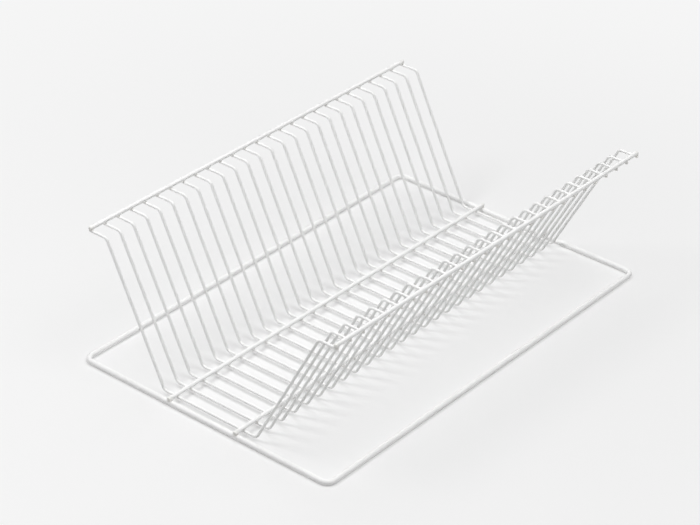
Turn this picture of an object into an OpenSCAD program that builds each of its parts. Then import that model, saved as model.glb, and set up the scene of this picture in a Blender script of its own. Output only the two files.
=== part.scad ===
// Dish drying rack of welded, plastic-coated steel wire.
//
// A row of bent cross wires makes a trough that holds plates on edge. Two straight floor rails
// lie on the cross wires and carry them: the rails' ends rest on the short sides of a closed base
// frame, which is the only piece that touches the table. A top rail ties the lips of each wall.
//
// +X runs along the rack, +Y is its left side seen from the front end (-X), and +Z is up.
// The origin is on the table, under the middle of the rack. All sizes include the coating.

/* [Base frame] */
// Length over the outside of the base frame
frame_l = 522; // [520:1:620]
// Width over the outside of the base frame
frame_w = 330; // [300:1:400]
// Diameter of the base frame's wire
frame_d = 6; // [4:0.5:7]
// Radius of the base frame's corners, at the middle of the wire
frame_bend_r = 9; // [6:1:30]

/* [Cross wires] */
// Number of cross wires
wire_count = 27; // [5:1:27]
// Distance from one cross wire to the next
wire_pitch = 19; // [12:0.5:19]
// Diameter of a cross wire
wire_d = 3; // [2.5:0.25:4]
// Radius of a cross wire's bends, at the middle of the wire
wire_bend_r = 6; // [4:1:12]
// Width of the trough's floor, between the bends where the walls start
floor_w = 123; // [105:1:160]
// Width of the trough's mouth, between the bends where the lips start
mouth_w = 275; // [200:1:280]
// How far the end of a lip stands out past its top rail's middle
lip_over = 2.5; // [2:0.5:6]

/* [Rails] */
// Diameter of the two floor rails and the two top rails
rail_d = 4.5; // [3:0.5:6]
// Distance between the middles of the two floor rails
floor_rail_gap = 88; // [50:1:90]
// Distance between the middles of the two top rails
top_rail_gap = 317; // [310:1:340]
// How far a top rail runs past the middle of the first and the last cross wire
rail_over = 2.5; // [2:0.5:10]
// Height over the top rails
rack_h = 157; // [100:1:220]

/* [Welds] */
// Depth to which one wire sinks into the other where two are welded
weld_depth = 0.3; // [0.1:0.1:0.6]
// Share of a wire's radius that is rounded off around its cut ends
end_round = 0.55; // [0.2:0.05:0.8]

/* [Hidden] */
$fn = 48;
wire_numbers = [1 : wire_count];

// Heights of the wires' middles, from the table up
frame_z = frame_d / 2;
floor_rail_z = frame_d + rail_d / 2 - weld_depth;
floor_wire_z = floor_rail_z - rail_d / 2 - wire_d / 2 + weld_depth;
top_rail_z = rack_h - rail_d / 2;
lip_z = top_rail_z - rail_d / 2 - wire_d / 2 + weld_depth;

// Distances of the rails' middles from the rack's middle
floor_rail_y = floor_rail_gap / 2;
top_rail_y = top_rail_gap / 2;
top_rail_l = (wire_count - 1) * wire_pitch + 2 * rail_over;

// How much thinner a wire is in its bends, and how far a bend runs into the straights beside it
bend_thinning = 0.06;
bend_lap = 0.3;

coat = [0.94, 0.94, 0.93];

// ---- Bent and straight wire ----

function unit(from, to) = (to - from) / norm(to - from);
function heading(from, to) = atan2(to.y - from.y, to.x - from.x);

// The signed angle by which a path turns at its corner b, on the way from a to c
function turn(a, b, c) =
    let (u = unit(a, b), v = unit(b, c))
    atan2(u.x * v.y - u.y * v.x, u * v);

// The length that a bend of radius r takes off each side of the corner b
function setback(a, b, c, r) = r * tan(abs(turn(a, b, c)) / 2);

// A straight wire along +Z from the origin, with its start, its end or both rounded over
module straight_wire(d, l, round_start = false, round_end = false) {
    e = end_round * d / 2;
    rotate_extrude()
        difference() {
            square([d / 2, l]);
            if (round_start) edge_waste(d / 2, 0, e, 0);
            if (round_end) edge_waste(d / 2, l, e, 1);
        }
}

// What rounding takes off the corner [x, y] of a wire's half section; up is 1 at the top corner
module edge_waste(x, y, e, up)
    translate([x, y])
        mirror([0, up])
            difference() {
                translate([-e, -1]) square([e + 1, e + 1]);
                translate([-e, e]) circle(e);
            }

// The bend of radius r at the corner b of a path from a to c, in the XY plane. Bending thins the
// wire a little, and each end of the bend runs a short way into the straight wire beside it.
module elbow(a, b, c, d, r) {
    t = turn(a, b, c);
    h = heading(a, b);
    side = sign(t);
    start = b - unit(a, b) * setback(a, b, c, r);
    middle = start + side * r * [-sin(h), cos(h)];
    lap_angle = bend_lap / r * 180 / PI;
    translate([middle.x, middle.y, 0])
        rotate((side > 0 ? h - 90 : h + 90 + t) - lap_angle)
            rotate_extrude(angle = abs(t) + 2 * lap_angle)
                translate([r, 0]) circle(d = d - bend_thinning);
}

// A straight stretch from a to b in the XY plane, less the setbacks s and e at its two ends
module stretch(a, b, d, s, e, round_start = false, round_end = false) {
    start = a + unit(a, b) * s;
    translate([start.x, start.y, 0])
        rotate([0, 90, heading(a, b)])
            straight_wire(d, norm(b - a) - s - e, round_start, round_end);
}

// A wire bent along the open path p in the XY plane, with rounded ends
module open_wire(p, d, r) {
    last = len(p) - 1;
    cuts = [for (i = [0 : last]) i == 0 || i == last ? 0 : setback(p[i - 1], p[i], p[i + 1], r)];
    for (i = [1 : last]) stretch(p[i - 1], p[i], d, cuts[i - 1], cuts[i], i == 1, i == last);
    for (i = [1 : last - 1]) elbow(p[i - 1], p[i], p[i + 1], d, r);
}

// A wire bent along the closed path p in the XY plane and welded shut
module closed_wire(p, d, r) {
    n = len(p);
    cuts = [for (i = [0 : n - 1]) setback(p[(i + n - 1) % n], p[i], p[(i + 1) % n], r)];
    for (i = [0 : n - 1]) {
        stretch(p[i], p[(i + 1) % n], d, cuts[i], cuts[(i + 1) % n]);
        elbow(p[(i + n - 1) % n], p[i], p[(i + 1) % n], d, r);
    }
}

// ---- Rails ----

// A straight wire of length l along X, centred on [0, y, z]
module rail(l, y, z)
    color(coat)
        translate([-l / 2, y, z])
            rotate([0, 90, 0]) straight_wire(rail_d, l, true, true);

module left_floor_rail() rail(frame_l, floor_rail_y, floor_rail_z);
module right_floor_rail() rail(frame_l, -floor_rail_y, floor_rail_z);
module left_top_rail() rail(top_rail_l, top_rail_y, top_rail_z);
module right_top_rail() rail(top_rail_l, -top_rail_y, top_rail_z);

// The seats that the four rails sink into the wires they are welded to
module rail_seats(at_x, span)
    for (side = [-1, 1])
        for (seat = [[floor_rail_y, floor_rail_z], [top_rail_y, top_rail_z]])
            translate([at_x - span / 2, side * seat[0], seat[1]])
                rotate([0, 90, 0]) cylinder(d = rail_d, h = span);

// ---- Base frame ----

module base_frame() {
    x = (frame_l - frame_d) / 2;
    y = (frame_w - frame_d) / 2;
    color(coat)
        difference() {
            translate([0, 0, frame_z])
                closed_wire([[-x, -y], [x, -y], [x, y], [-x, y]], frame_d, frame_bend_r);
            rail_seats(0, frame_l + 2 * frame_d);
        }
}

// ---- Cross wires ----

function wire_name(i) = str("cross_wire_", i < 10 ? "0" : "", i);
function wire_x(i) = (i - (wire_count + 1) / 2) * wire_pitch;

// One side of a cross wire's path, from the floor bend out to the end of the lip
function half_path(side) = [
    [side * floor_w / 2, floor_wire_z],
    [side * mouth_w / 2, lip_z],
    [side * (top_rail_y + lip_over), lip_z]
];
function reversed(list) = [for (i = [len(list) - 1 : -1 : 0]) list[i]];

// The path is drawn in the XY plane and stood up, so that its x is the rack's Y and its y is Z
module cross_wire(i)
    color(coat)
        difference() {
            translate([wire_x(i), 0, 0])
                rotate([90, 0, 90])
                    open_wire(concat(reversed(half_path(-1)), half_path(1)), wire_d, wire_bend_r);
            rail_seats(wire_x(i), 2 * wire_d);
        }

// ---- The pieces ----

base_frame();
left_floor_rail();
right_floor_rail();
left_top_rail();
right_top_rail();
for (i = wire_numbers)
    cross_wire(i);
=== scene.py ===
"""A dish drying rack of welded steel wire in a white plastic coat, alone on a pale floor.

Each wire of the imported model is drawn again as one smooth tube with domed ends. Where two wires
are welded, the coat swells into a fillet around the joint, as it does on a rack dipped in plastic.
Lengths are in metres.
"""

import math

import bmesh
import bpy
import numpy as np
from mathutils import Matrix, Vector


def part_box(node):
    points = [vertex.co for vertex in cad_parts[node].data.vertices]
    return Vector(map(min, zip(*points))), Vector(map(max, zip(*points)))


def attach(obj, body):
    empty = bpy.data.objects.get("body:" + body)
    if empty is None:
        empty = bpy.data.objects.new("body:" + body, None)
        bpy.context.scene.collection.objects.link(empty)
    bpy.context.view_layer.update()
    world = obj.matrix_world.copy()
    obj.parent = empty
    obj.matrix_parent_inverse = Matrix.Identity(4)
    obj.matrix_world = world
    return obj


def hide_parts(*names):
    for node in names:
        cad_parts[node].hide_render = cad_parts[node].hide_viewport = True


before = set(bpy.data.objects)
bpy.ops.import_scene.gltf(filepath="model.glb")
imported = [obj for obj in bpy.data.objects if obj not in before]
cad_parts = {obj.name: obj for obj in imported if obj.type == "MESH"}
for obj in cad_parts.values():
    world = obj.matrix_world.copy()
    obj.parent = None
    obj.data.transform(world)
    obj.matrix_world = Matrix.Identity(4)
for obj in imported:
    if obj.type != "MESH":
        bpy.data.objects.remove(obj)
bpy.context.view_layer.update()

# ---- Measures of the wires that their boxes don't give ----

FRAME_BEND = 0.009  # radius of the base frame's corners, at the middle of the wire
WIRE_BEND = 0.006  # radius of a cross wire's bends
FLOOR_HALF = 0.0615  # where a cross wire's walls start, from the rack's middle
MOUTH_HALF = 0.1375  # where its lips start
WIRE_FLOOR = slice(2, 4)  # which of a cross wire's corners are the ends of its floor
WIRE_LIPS = (slice(0, 2), slice(4, 6))  # and of its left and right lip

# ---- Fineness of the meshes ----

SIDES = 40  # points around a wire
COARSE = 0.006  # distance between the rings of a straight stretch
FINE = 0.0003  # the same beside a weld
WELD_REACH = 0.0045  # how far along a wire the fine rings go on each side of a weld
WELD_NEAR = 3  # a weld belongs to a stretch whose middle passes it closer than this, in radii
BEND_STEP = math.radians(6)  # largest turn from one ring to the next in a bend
DOME_RINGS = 8  # rings between the rim and the top of a dome
SWELL_ROUNDS = 12  # rounds in which the height of a fillet settles

# ---- Shape of the plastic coat ----

DOME = 0.7  # depth of the dome at a cut end, as a share of the wire's radius
DOME_SHAPE = 2.5  # 2 makes the dome elliptical, and more makes it flatter
FILLET = 0.0017  # distance over which the coats of two welded wires run into each other
FULL_WELD = FILLET / 4  # the coat has a weld's full tint where it stands out this far
TIP_REACH = 3.5  # how far from a cut end the coat is thicker, in radii of the wire

# ---- Look of the plastic coat ----

COAT_WHITE = (0.965, 0.965, 0.96)
CLOUD_TINT = (0.975, 0.975, 0.975)
SPECK_TINT = (0.86, 0.85, 0.82)
# painted shade: the tint that darkens the undersides of the wires
UNDER_SHADE_TINT = (0.91, 0.905, 0.89)
RUB_TINT = (0.98, 0.98, 0.98)
THICK_TINT = (0.94, 0.93, 0.9)  # at welds and cut ends

# Noise patterns: scale, detail, and the noise at which each begins and is full
CLOUDS = (35, 3, 0.3, 0.7)
SPECKS = (1100, 1, 0.66, 0.76)
# the patches of painted shade under the wires
UNDER_SHADE_PATCHES = (55, 3, 0.25, 0.6)
RUBS = (260, 3, 0.42, 0.66)
SHEEN = (180, 2, 0.3, 0.7)

GLOSSY, DULL = 0.27, 0.45  # the coat's roughness goes from one to the other
RUB_DULLS = 0.2  # roughness that plates add where they rub
BUMPS = (  # noise scale, depth and strength: the orange peel, and the finer grain on it
    (130, 0.0002, 0.35),
    (750, 0.00012, 0.5),
)
BUMP_DETAIL = 2

# ---- Surroundings ----

FLOOR_RADIUS = 8
FLOOR_SIDES = 96
FLOOR_TONE = 0.82
FLOOR_ROUGHNESS = 0.8
FLOOR_SPECULAR = 0.1
FLOOR_LIFT = 0.32  # how much of the floor's look near the rack is plain white
BACKDROP_TONE = 0.92  # what the eye sees beyond the floor
FLOOR_FADE = (0.15, 1.0)  # the floor turns into the backdrop between these distances

LAMPS = (
    # name, azimuth, elevation, distance, width, level: how bright it alone makes a white floor
    ("overhead", 0, 90, 3.2, 3.6, 0.14),
    ("left", 146, 58, 1.8, 0.55, 0.265),
    ("right", 280, 64, 3.0, 1.8, 0.345),
    ("back", 55, 62, 2.8, 1.6, 0.19),
)
SKY_LEVEL = 0.05  # strength of the sky as a light

# ---- Camera: high over the rack's front right corner, through a long lens ----

CAMERA_TURN = math.radians(38.732)
CAMERA_TILT = math.radians(31.415)
CAMERA_ROLL = math.radians(1.691)
CAMERA_DISTANCE = 2.575425
CAMERA_AIM = Vector((0.007447, 0.032468, 0.0504))
CAMERA_LENS = 125.484  # in millimetres, as is the sensor's width
CAMERA_SENSOR = 36
CAMERA_CLIP_END = 50

# ---- Wires ----


class Wire:
    """A wire of the rack: its radius, the corners of its middle line, and what is welded to it."""

    def __init__(self, name, radius, corners, bend=0.0, closed=False):
        self.name, self.radius, self.bend, self.closed = name, radius, bend, closed
        self.corners = [np.array(c, float) for c in corners]
        self.welds = []  # the other wires' straight stretches: (place, start, end, radius)


def unit(v):
    return v / np.linalg.norm(v)


def rail_from(name):
    low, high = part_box(name)
    middle = (low + high) / 2
    ends = [(low.x, middle.y, middle.z), (high.x, middle.y, middle.z)]
    return Wire(name, (high.z - low.z) / 2, ends)


def cross_wire_from(name):
    low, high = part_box(name)
    radius, x = (high.x - low.x) / 2, (high.x + low.x) / 2
    floor_z, lip_z = low.z + radius, high.z - radius
    left = [(x, high.y, lip_z), (x, MOUTH_HALF, lip_z), (x, FLOOR_HALF, floor_z)]
    return Wire(name, radius, left + [(x, -y, z) for x, y, z in reversed(left)], WIRE_BEND)


def frame_from(name):
    low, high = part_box(name)
    radius = (high.z - low.z) / 2
    x, y = high.x - radius, high.y - radius
    corners = [(-x, -y, radius), (x, -y, radius), (x, y, radius), (-x, y, radius)]
    return Wire(name, radius, corners, FRAME_BEND, closed=True)


def weld(one, one_ends, other, other_ends):
    """Welds two wires where their straight stretches, given by their ends, pass each other."""
    (a, b), (c, d) = one_ends, other_ends
    u, v = unit(b - a), unit(d - c)
    n = np.cross(u, v)
    place = a + u * (np.cross(c - a, v) @ n) / (n @ n)
    one.welds.append((place, c, d, other.radius))
    other.welds.append((place, a, b, one.radius))


# ---- Tubes ----


def straight_stations(length, weld_distances):
    """Distances of a stretch's rings from its start: close together beside the welds."""
    stations = set(np.linspace(0, length, max(2, round(length / COARSE) + 1)))
    for w in weld_distances:
        stations = {s for s in stations if abs(s - w) > WELD_REACH or s in (0, length)}
        fine = np.arange(w - WELD_REACH, w + WELD_REACH, FINE)
        stations.update(s for s in fine if 0 < s < length)
    kept = []
    for s in sorted(stations):
        if not kept or s == length or s - kept[-1] > FINE / 2:
            kept.append(s)
    return kept


def middle_line(wire):
    """The places of a wire's rings and the directions of its middle line there."""
    c, n = wire.corners, len(wire.corners)
    turning = range(n) if wire.closed else range(1, n - 1)
    leaves, arrives, arcs = {}, {}, {}
    for i in turning:
        u, v = unit(c[i] - c[i - 1]), unit(c[(i + 1) % n] - c[i])
        turn = math.acos(u @ v)
        cut = wire.bend * math.tan(turn / 2)
        arrives[i], leaves[i] = c[i] - u * cut, c[i] + v * cut
        centre = c[i] + unit(v - u) * wire.bend / math.cos(turn / 2)
        steps = np.linspace(0, turn, math.ceil(turn / BEND_STEP) + 1)[1:-1]
        arm = arrives[i] - centre
        arcs[i] = [
            (centre + arm * math.cos(t) + u * wire.bend * math.sin(t),
             u * math.cos(t) - unit(arm) * math.sin(t))
            for t in steps
        ]
    rings = []
    for i in range(n if wire.closed else n - 1):
        j = (i + 1) % n
        a, b = leaves.get(i, c[i]), arrives.get(j, c[j])
        along, length = unit(b - a), np.linalg.norm(b - a)
        distances = [
            (place - a) @ along for place, *_ in wire.welds
            if np.linalg.norm(np.cross(place - a, along)) < WELD_NEAR * wire.radius
        ]
        rings += [(a + along * s, along) for s in straight_stations(length, distances)]
        rings += arcs.get(j, [])
    return rings


def ring_radii(wire, rings):
    """Adds the domes' rings at both ends of an open wire, and gives each ring its radius."""
    if wire.closed:
        return [(p, t, wire.radius) for p, t in rings]
    depth = DOME * wire.radius
    power = 2 / DOME_SHAPE
    angles = np.linspace(0, math.pi / 2, DOME_RINGS + 2)[1:-1]
    dome = [
        (depth * (1 - math.sin(a) ** power), wire.radius * math.cos(a) ** power) for a in angles
    ]
    first, last = rings[0], rings[-1]
    inner = [
        (p, t, wire.radius) for p, t in rings
        if (p - first[0]) @ first[1] > depth and (last[0] - p) @ last[1] > depth
    ]
    start = [(first[0] + first[1] * s, first[1], r) for s, r in reversed(dome)]
    end = [(last[0] - last[1] * s, last[1], r) for s, r in dome]
    start.append((first[0] + first[1] * depth, first[1], wire.radius))
    end.insert(0, (last[0] - last[1] * depth, last[1], wire.radius))
    return start + inner + end


def rod_distance(points, start, end, radius):
    """How far points are outside a straight wire with rounded ends."""
    rim = DOME * radius
    along, length = unit(end - start), np.linalg.norm(end - start)
    offset = points - (start + end) / 2
    s = offset @ along
    past = np.abs(s) - (length / 2 - rim)
    out = np.linalg.norm(offset - s[:, None] * along, axis=1) - (radius - rim)
    beyond = np.hypot(np.maximum(past, 0), np.maximum(out, 0))
    return beyond + np.minimum(np.maximum(past, out), 0) - rim


def swell(points, normals, welds):
    """How far the coat stands out at each point, to run smoothly into the coats welded to it.

    Each point climbs its normal until the smooth minimum of its distances to both wires is 0.
    """
    grown = np.zeros(len(points))
    for place, start, end, radius in welds:
        near = np.linalg.norm(points - place, axis=1) < WELD_REACH + radius
        p, n, s = points[near], normals[near], np.zeros(near.sum())
        for _ in range(SWELL_ROUNDS):
            other = rod_distance(p + n * s[:, None], start, end, radius)
            overlap = np.maximum(FILLET - np.abs(other - s), 0) / FILLET
            smooth_minimum = np.minimum(other, s) - overlap**2 * FILLET / 4
            s = np.clip(s - smooth_minimum, 0, FILLET / 2)
        grown[near] = np.maximum(grown[near], s)
    return grown


def coated_rows(wire):
    """The coat's points, ring by ring, and how much each has of the marks that tint the coat."""
    rings = ring_radii(wire, middle_line(wire))
    c = wire.corners
    # The direction across the plane that the wire is bent in
    side = unit(np.cross(c[1] - c[0], c[2] - c[1])) if len(c) > 2 else np.array([0.0, 1, 0])
    around = np.linspace(0, 2 * math.pi, SIDES, endpoint=False)
    # facing is 1 where the coat faces up or towards the plates, and -1 on the other side
    points, normals, facing = [], [], []
    for place, direction, radius in rings:
        up = np.cross(direction, side)
        out = np.outer(np.cos(around), side) + np.outer(np.sin(around), up)
        points.append(place + radius * out)
        normals.append(out)
        facing.append(out @ (side if wire.closed else up))
    points, normals, facing = (np.concatenate(v) for v in (points, normals, facing))
    grown = swell(points, normals, wire.welds)
    marks = {
        "weld": np.minimum(1, grown / FULL_WELD),
        "tip": np.zeros(len(points)),
        "rubbed": np.maximum(facing, 0),
        # where the coat faces down or away from the plates, which takes painted shade
        "under": np.maximum(-facing, 0),
    }
    if not wire.closed:
        for end in (c[0], c[-1]):
            away = np.linalg.norm(points - end, axis=1) / (TIP_REACH * wire.radius)
            marks["tip"] = np.maximum(marks["tip"], 1 - away)
    low, high = (np.array(v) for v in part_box(wire.name))
    return np.clip(points + normals * grown[:, None], low, high), marks


def tube(wire, material):
    """Draws a wire as one smooth tube, and lets it stand for the CAD node of its name."""
    points, marks = coated_rows(wire)
    mesh = bmesh.new()
    layers = {mark: mesh.verts.layers.float.new(mark) for mark in marks}
    verts = [mesh.verts.new(p) for p in points]
    for mark, values in marks.items():
        for v, value in zip(verts, values):
            v[layers[mark]] = value
    rows = [verts[i:i + SIDES] for i in range(0, len(verts), SIDES)]
    for a, b in zip(rows, rows[1:] + rows[:1] if wire.closed else rows[1:]):
        for i in range(SIDES):
            j = (i + 1) % SIDES
            mesh.faces.new((a[i], a[j], b[j], b[i]))
    if not wire.closed:
        for row, tip in ((rows[0], wire.corners[0]), (rows[-1], wire.corners[-1])):
            point = mesh.verts.new(tip)
            for i in range(SIDES):
                mesh.faces.new((row[i], row[(i + 1) % SIDES], point))
    bmesh.ops.recalc_face_normals(mesh, faces=mesh.faces)
    for face in mesh.faces:
        face.smooth = True
    data = bpy.data.meshes.new(wire.name + "_coat")
    mesh.to_mesh(data)
    mesh.free()
    data.materials.append(material)
    piece = bpy.data.objects.new(wire.name + "_coat", data)
    bpy.context.collection.objects.link(piece)
    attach(piece, "root")
    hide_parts(wire.name)


# ---- Materials ----


def new_material(name):
    material = bpy.data.materials.new(name)
    material.use_nodes = True
    nodes, links = material.node_tree.nodes, material.node_tree.links
    return material, nodes, links, nodes["Principled BSDF"]


def noise(nodes, links, place, scale, detail):
    texture = nodes.new("ShaderNodeTexNoise")
    texture.inputs["Scale"].default_value = scale
    texture.inputs["Detail"].default_value = detail
    links.new(place, texture.inputs["Vector"])
    return texture.outputs["Fac"]


def spread(nodes, links, value, low, high, start=0.0, end=1.0):
    """Stretches a value's range from low to high over start to end."""
    node = nodes.new("ShaderNodeMapRange")
    node.inputs["From Min"].default_value, node.inputs["From Max"].default_value = low, high
    node.inputs["To Min"].default_value, node.inputs["To Max"].default_value = start, end
    links.new(value, node.inputs["Value"])
    return node.outputs["Result"]


def combined(nodes, links, operation, a, b):
    node = nodes.new("ShaderNodeMath")
    node.operation = operation
    links.new(a, node.inputs[0])
    links.new(b, node.inputs[1])
    return node.outputs["Value"]


def tinted(nodes, links, colour, amount, tint):
    """Multiplies a colour, given by its values or by a socket, by a tint, as far as amount says."""
    mix = nodes.new("ShaderNodeMix")
    mix.data_type, mix.blend_type = "RGBA", "MULTIPLY"
    # The node has sockets named A, B and Result for each type of data: these are the colours'
    colour_in, tint_in, colour_out = mix.inputs[6], mix.inputs[7], mix.outputs[2]
    links.new(amount, mix.inputs["Factor"])
    if isinstance(colour, tuple):
        colour_in.default_value = (*colour, 1)
    else:
        links.new(colour, colour_in)
    tint_in.default_value = (*tint, 1)
    return colour_out


def coat_material():
    """Satin white plastic with an orange-peel skin. It is clouded and specked, has painted shade in
    patches on its undersides, is warmer where it ran thick at welds and cut ends, and is dulled
    where plates rub it."""
    material, nodes, links, shader = new_material("white_plastic_coat")
    place = nodes.new("ShaderNodeTexCoord").outputs["Object"]
    mark = {}
    for name in ("weld", "tip", "rubbed", "under"):
        node = nodes.new("ShaderNodeAttribute")
        node.attribute_name = name
        mark[name] = node.outputs["Fac"]

    def patches(pattern, start=0.0, end=1.0):
        scale, detail, low, high = pattern
        value = noise(nodes, links, place, scale, detail)
        return spread(nodes, links, value, low, high, start, end)

    rub = combined(nodes, links, "MULTIPLY", mark["rubbed"], patches(RUBS))
    # painted shade: the undersides darkened in noise patches
    painted_shade = combined(nodes, links, "MULTIPLY", mark["under"], patches(UNDER_SHADE_PATCHES))
    colour = COAT_WHITE
    for amount, tint in (
        (patches(CLOUDS), CLOUD_TINT),
        (patches(SPECKS), SPECK_TINT),
        (painted_shade, UNDER_SHADE_TINT),
        (rub, RUB_TINT),
        (mark["weld"], THICK_TINT),
        (mark["tip"], THICK_TINT),
    ):
        colour = tinted(nodes, links, colour, amount, tint)
    links.new(colour, shader.inputs["Base Color"])

    dulled = spread(nodes, links, rub, 0, 1, 0, RUB_DULLS)
    roughness = combined(nodes, links, "ADD", patches(SHEEN, GLOSSY, DULL), dulled)
    links.new(roughness, shader.inputs["Roughness"])

    normal = None
    for scale, depth, strength in BUMPS:
        bump = nodes.new("ShaderNodeBump")
        bump.inputs["Strength"].default_value = strength
        bump.inputs["Distance"].default_value = depth
        links.new(noise(nodes, links, place, scale, BUMP_DETAIL), bump.inputs["Height"])
        if normal:
            links.new(normal, bump.inputs["Normal"])
        normal = bump.outputs["Normal"]
    links.new(normal, shader.inputs["Normal"])
    return material


def seen_rays(nodes, links):
    """1 for the rays that show a surface to the eye, straight or by reflection, and 0 for light."""
    path = nodes.new("ShaderNodeLightPath").outputs
    glossy, transmitted = path["Is Glossy Ray"], path["Is Transmission Ray"]
    reflected = combined(nodes, links, "MAXIMUM", glossy, transmitted)
    return combined(nodes, links, "MAXIMUM", path["Is Camera Ray"], reflected)


def floor_material():
    """A pale matt floor. The eye sees it partly as plain white, and as the backdrop far away."""
    material, nodes, links, shader = new_material("pale_floor")
    shader.inputs["Base Color"].default_value = (FLOOR_TONE, FLOOR_TONE, FLOOR_TONE, 1)
    shader.inputs["Roughness"].default_value = FLOOR_ROUGHNESS
    shader.inputs["Specular IOR Level"].default_value = FLOOR_SPECULAR
    distance = nodes.new("ShaderNodeVectorMath")
    distance.operation = "LENGTH"
    links.new(nodes.new("ShaderNodeTexCoord").outputs["Object"], distance.inputs[0])

    def faded(near, far):
        node = nodes.new("ShaderNodeMapRange")
        node.interpolation_type = "SMOOTHSTEP"
        node.inputs["From Min"].default_value, node.inputs["From Max"].default_value = FLOOR_FADE
        node.inputs["To Min"].default_value, node.inputs["To Max"].default_value = near, far
        links.new(distance.outputs["Value"], node.inputs["Value"])
        return node.outputs["Result"]

    white = nodes.new("ShaderNodeEmission")
    links.new(faded(1, BACKDROP_TONE), white.inputs["Strength"])
    mix = nodes.new("ShaderNodeMixShader")
    share = combined(nodes, links, "MULTIPLY", faded(FLOOR_LIFT, 1), seen_rays(nodes, links))
    links.new(share, mix.inputs["Fac"])
    links.new(shader.outputs["BSDF"], mix.inputs[1])
    links.new(white.outputs["Emission"], mix.inputs[2])
    links.new(mix.outputs["Shader"], nodes["Material Output"].inputs["Surface"])
    return material


# ---- The rack ----

base = frame_from("base_frame")
floor_rails = [rail_from("left_floor_rail"), rail_from("right_floor_rail")]
top_rails = [rail_from("left_top_rail"), rail_from("right_top_rail")]
cross_wires = [cross_wire_from(n) for n in sorted(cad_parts) if n.startswith("cross_wire_")]

short_sides = (base.corners[1:3], (base.corners[3], base.corners[0]))
for rail in floor_rails:
    for short_side in short_sides:
        weld(rail, rail.corners, base, short_side)
    for wire in cross_wires:
        weld(rail, rail.corners, wire, wire.corners[WIRE_FLOOR])
for rail, lip in zip(top_rails, WIRE_LIPS):
    for wire in cross_wires:
        weld(rail, rail.corners, wire, wire.corners[lip])

coat = coat_material()
for wire in [base, *floor_rails, *cross_wires, *top_rails]:
    tube(wire, coat)

# ---- Floor ----

bpy.ops.mesh.primitive_circle_add(
    vertices=FLOOR_SIDES, radius=FLOOR_RADIUS, fill_type="NGON", location=(0, 0, 0)
)
floor = bpy.context.object
floor.name = "floor"
floor.data.materials.append(floor_material())

# ---- Camera ----

ahead = Vector((
    math.cos(CAMERA_TURN) * math.cos(CAMERA_TILT),
    math.sin(CAMERA_TURN) * math.cos(CAMERA_TILT),
    -math.sin(CAMERA_TILT),
))
level_right = Vector((math.sin(CAMERA_TURN), -math.cos(CAMERA_TURN), 0))
right = Matrix.Rotation(-CAMERA_ROLL, 3, ahead) @ level_right
up = right.cross(ahead)
camera = bpy.data.objects.new("camera", bpy.data.cameras.new("camera"))
bpy.context.collection.objects.link(camera)
camera.data.sensor_width = CAMERA_SENSOR
camera.data.lens = CAMERA_LENS
camera.data.clip_end = CAMERA_CLIP_END
axes = Matrix((right, up, -ahead)).transposed()
camera.matrix_world = Matrix.Translation(CAMERA_AIM - ahead * CAMERA_DISTANCE) @ axes.to_4x4()
bpy.context.scene.camera = camera

# ---- Light ----

for name, azimuth, elevation, distance, width, level in LAMPS:
    az, el = math.radians(azimuth), math.radians(elevation)
    towards = Vector((math.cos(az) * math.cos(el), math.sin(az) * math.cos(el), math.sin(el)))
    lamp = bpy.data.lights.new(name, "AREA")
    lamp.shape, lamp.size = "DISK", width
    # The power with which a disc of that width lights a white floor to its level, from that far
    lamp.energy = level * math.pi**2 * (distance**2 + width**2 / 4) / math.sin(el)
    holder = bpy.data.objects.new(name, lamp)
    bpy.context.collection.objects.link(holder)
    holder.location = towards * distance
    holder.rotation_euler = towards.to_track_quat("Z", "Y").to_euler()

world = bpy.data.worlds.new("studio")
world.use_nodes = True
sky, sky_links = world.node_tree.nodes, world.node_tree.links
strength = spread(sky, sky_links, seen_rays(sky, sky_links), 0, 1, SKY_LEVEL, BACKDROP_TONE)
sky_links.new(strength, sky["Background"].inputs["Strength"])
sky["Background"].inputs["Color"].default_value = (1, 1, 1, 1)
bpy.context.scene.world = world
bpy.context.scene.view_settings.view_transform = "Standard"
